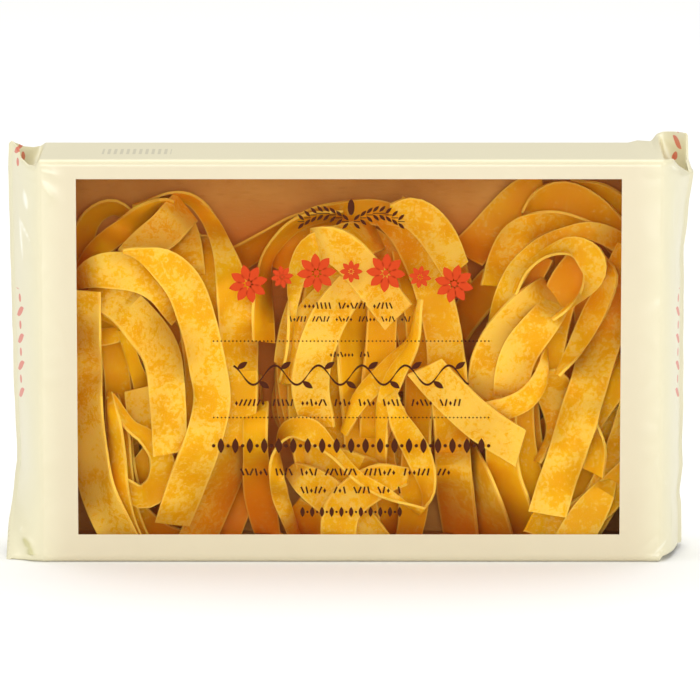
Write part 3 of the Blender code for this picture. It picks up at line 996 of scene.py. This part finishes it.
# %% [markdown]
# ## The print on the window
#
# The window carries its own plain ornament in two inks: a spray of wheat, an arch of red rosettes, dotted
# rules, a vine, rows of short bars and borders of upright leaves. Each mark is a very thin solid.

# %% Marks of ink
INK_THICK = 0.03 * MM
INK_FACE = -HALF_DEPTH - 0.42 * MM


def seat_mark(builder, verts, x, z, wide, tall, turn=0.0):
    """Scales a unit mark that lies in the XY plane, stands it up to face the front, and turns it."""
    bmesh.ops.scale(builder, vec=(wide, tall, INK_THICK), verts=verts)
    for vert in verts:
        a, b = vert.co.x, vert.co.y
        across = a * math.cos(turn) - b * math.sin(turn)
        up = a * math.sin(turn) + b * math.cos(turn)
        vert.co = (x + across, INK_FACE - vert.co.z, z + up)


def disc(builder, sides):
    shape = {"segments": sides, "radius1": 0.5, "radius2": 0.5, "depth": 1.0, "cap_ends": True}
    return bmesh.ops.create_cone(builder, **shape)["verts"]


def dot(builder, x, z, wide, tall=None, sides=12):
    seat_mark(builder, disc(builder, sides), x, z, wide, tall or wide)


def bar(builder, x, z, wide, tall, turn=0.0):
    made = bmesh.ops.create_cube(builder, size=1.0)
    seat_mark(builder, made["verts"], x, z, wide, tall, turn)


def leaf(builder, x, z, long, wide, turn):
    """An almond shape: a disc whose sides are drawn in towards two pointed ends."""
    almond = disc(builder, 20)
    for vert in almond:
        vert.co.y *= abs(2 * vert.co.y)
    seat_mark(builder, almond, x, z, long, wide, turn)


def tick_row(builder, z, half, tall, seed):
    """A row of small slanted ticks and dots in uneven groups, centred on the window."""
    chance = np.random.default_rng(seed)
    x = -half
    while x < half:
        for _ in range(chance.integers(3, 8)):
            if x > half:
                break
            if chance.random() < 0.3:
                dot(builder, x, z - 0.1 * tall, 0.42 * tall, 0.7 * tall, 4)
            else:
                bar(builder, x, z, 0.24 * tall, tall, math.radians(chance.choice((-24, -12, 12, 24))))
            x += 0.62 * tall
        x += 0.9 * tall


def border_row(builder, z, half, tall):
    """A plain border of upright leaves with a dot between each."""
    count = int(half / (0.5 * tall))
    for step in range(-count, count + 1):
        x = step * half / count
        if step % 2:
            dot(builder, x, z, 0.26 * tall)
        else:
            leaf(builder, x, z, 1.1 * tall, 0.48 * tall, math.pi / 2)


# %% The dark ink
VINE_HALF, VINE_RISE, VINE_WAVES, VINE_Z = 41 * MM, 3.4 * MM, 17.0, 66.5 * MM
RULE_HEIGHTS, RULE_DOTS, RULE_STEP = (51.5 * MM, 78.5 * MM), 72, 1.35 * MM
# (height up the pack, half the row's width, the ticks' height), in millimetres
TICK_ROWS = [(91.0, 16, 2.3), (86.3, 21, 2.0), (73.8, 7, 2.0), (56.8, 40, 2.5), (32.2, 38, 2.6),
             (25.8, 17, 2.5)]


def wheat_spray(builder, z):
    for side in (-1, 1):
        for step in range(8):
            x, up = side * (2.0 + 2.2 * step) * MM, z + 3.0 * MM * math.sin(step / 7 * math.pi)
            for half in (-1, 1):
                leaf(builder, x, up + half * 1.5 * MM, 3.0 * MM, 1.1 * MM, side * half * math.radians(44))
            bar(builder, x, up, 2.3 * MM, 0.3 * MM)
    dot(builder, 0.0, z + 5 * MM, 2.4 * MM, 5.6 * MM, 12)


def vine(builder):
    stem = bmesh.ops.create_grid(builder, x_segments=180, y_segments=1, size=0.5)["verts"]
    # Each face of the strip once.
    sheet = list(dict.fromkeys(face for vert in stem for face in vert.link_faces))
    for vert in stem:
        turn = 2 * vert.co.x * VINE_WAVES
        slope = math.atan2(VINE_RISE * VINE_WAVES * math.cos(turn), VINE_HALF)
        off = vert.co.y * (0.3 + 0.5 * abs(math.sin(turn))) * MM
        x = 2 * VINE_HALF * vert.co.x - off * math.sin(slope)
        vert.co = (x, INK_FACE, VINE_Z + VINE_RISE * math.sin(turn) + off * math.cos(slope))
    builder.normal_update()
    bmesh.ops.solidify(builder, geom=sheet, thickness=INK_THICK)
    # The sides are added in no fixed order, so the faces are sorted by place to be the same in every run.
    builder.faces.sort(key=lambda face: face.calc_center_median().dot(Vector((1.0, 7.0, 3.0))))
    for step in range(-5, 6):
        up = 1 if step % 2 else -1
        x, z = VINE_HALF * step / 5.4, VINE_Z + up * VINE_RISE
        leaf(builder, x, z, 4.4 * MM, 2.0 * MM, up * math.radians(35))


def dark_print():
    builder = bmesh.new()
    wheat_spray(builder, 120.5 * MM)
    vine(builder)
    for z in RULE_HEIGHTS:
        for step in range(RULE_DOTS):
            dot(builder, (step - (RULE_DOTS - 1) / 2) * RULE_STEP, z, 0.6 * MM, sides=8)
    for seed, (z, half, tall) in enumerate(TICK_ROWS):
        tick_row(builder, z * MM, half * MM, tall * MM, seed)
    border_row(builder, 41.5 * MM, 48 * MM, 4.9 * MM)
    border_row(builder, 18.0 * MM, 17 * MM, 3.3 * MM)
    return builder


# %% The red ink
ARCH_RADIUS, ARCH_TOP, ARCH_STEP = 150 * MM, 103 * MM, 4.6
ROSETTES = (6.9 * MM, 4.0 * MM)
PETALS = 8


def rosette(builder, x, z, radius, turn):
    for petal in range(PETALS):
        angle = turn + 2 * math.pi * petal / PETALS
        off_x, off_z = 0.58 * radius * math.cos(angle), 0.58 * radius * math.sin(angle)
        leaf(builder, x + off_x, z + off_z, 0.84 * radius, 0.46 * radius, angle)
    dot(builder, x, z, 0.3 * radius)


def red_print():
    builder = bmesh.new()
    for step in range(-3, 4):
        angle = math.radians(step * ARCH_STEP)
        x, z = ARCH_RADIUS * math.sin(angle), ARCH_TOP - ARCH_RADIUS * (1 - math.cos(angle))
        rosette(builder, x, z, ROSETTES[(step + 1) % 2], math.pi / 2 - angle)
    return builder


matt = {"Roughness": 0.7, "Specular_IOR_Level": 0.1}
dark_ink = Finish("dark_ink", Base_Color=tint(74, 32, 12), Alpha=0.96, **matt).material
red_ink = Finish("red_ink", Base_Color=tint(204, 66, 24), Alpha=0.96, **matt).material
add_piece("window_print_dark", dark_print(), dark_ink)
add_piece("window_print_red", red_print(), red_ink)

# %% [markdown]
# ## Floor, light and camera
#
# The floor is wide and nearly white. The strongest of the broad soft lights stands in front, close to the
# camera. A weaker one is up on the left, one on each side lights the slanted ends, and one whitens the floor.
# The room is a soft white, so shade stays warm. The camera looks a little down at the front.


# %% The floor
floor = put_mesh("floor", new_grid(1, 1, 6.0))
pale_floor = Finish("pale_floor", Base_Color=(0.9, 0.9, 0.89, 1.0), Roughness=0.8).material
floor.data.materials.append(pale_floor)


# %% The lights
def soft_light(name, place, aim, size, power):
    data = bpy.data.lights.new(name, "AREA")
    data.shape = "DISK"
    data.size = size
    data.energy = power
    light = put_in_scene(name, data)
    light.location = place
    light.rotation_euler = (Vector(aim) - Vector(place)).to_track_quat("-Z", "Y").to_euler()


target = Vector((-0.4 * MM, -HALF_DEPTH, 75.3 * MM))
soft_light("key_light", (-0.5, -2.0, 0.7), target, 0.8, 6.2)
soft_light("front_light", (0.1, -2.4, 0.4), target, 0.8, 15.2)
soft_light("left_light", (-1.7, -0.6, 0.6), target, 0.9, 6)
soft_light("right_light", (1.7, -0.6, 0.6), target, 0.9, 8)
soft_light("floor_light", (0.0, 1.0, 3.0), (0.0, 1.0, 0.0), 4.0, 86)
world = bpy.data.worlds.new("soft_room")
world.use_nodes = True
room = world.node_tree.nodes["Background"].inputs
room["Color"].default_value = (1.0, 0.99, 0.97, 1.0)
room["Strength"].default_value = 0.5
bpy.context.scene.world = world
bpy.context.scene.view_settings.view_transform = "Standard"

# %% The camera
DISTANCE = 2.1
ELEVATION = math.radians(9.2)
SEEN_WIDTH = 243.8 * MM
camera_data = bpy.data.cameras.new("camera")
camera_data.sensor_width = 36.0
camera_data.lens = camera_data.sensor_width * DISTANCE / SEEN_WIDTH
camera = put_in_scene("camera", camera_data)
camera.location = target + Vector((0.0, -math.cos(ELEVATION), math.sin(ELEVATION))) * DISTANCE
camera.rotation_euler = (target - camera.location).to_track_quat("-Z", "Y").to_euler()
bpy.context.scene.camera = camera
print("lens, mm:", round(camera_data.lens, 1))
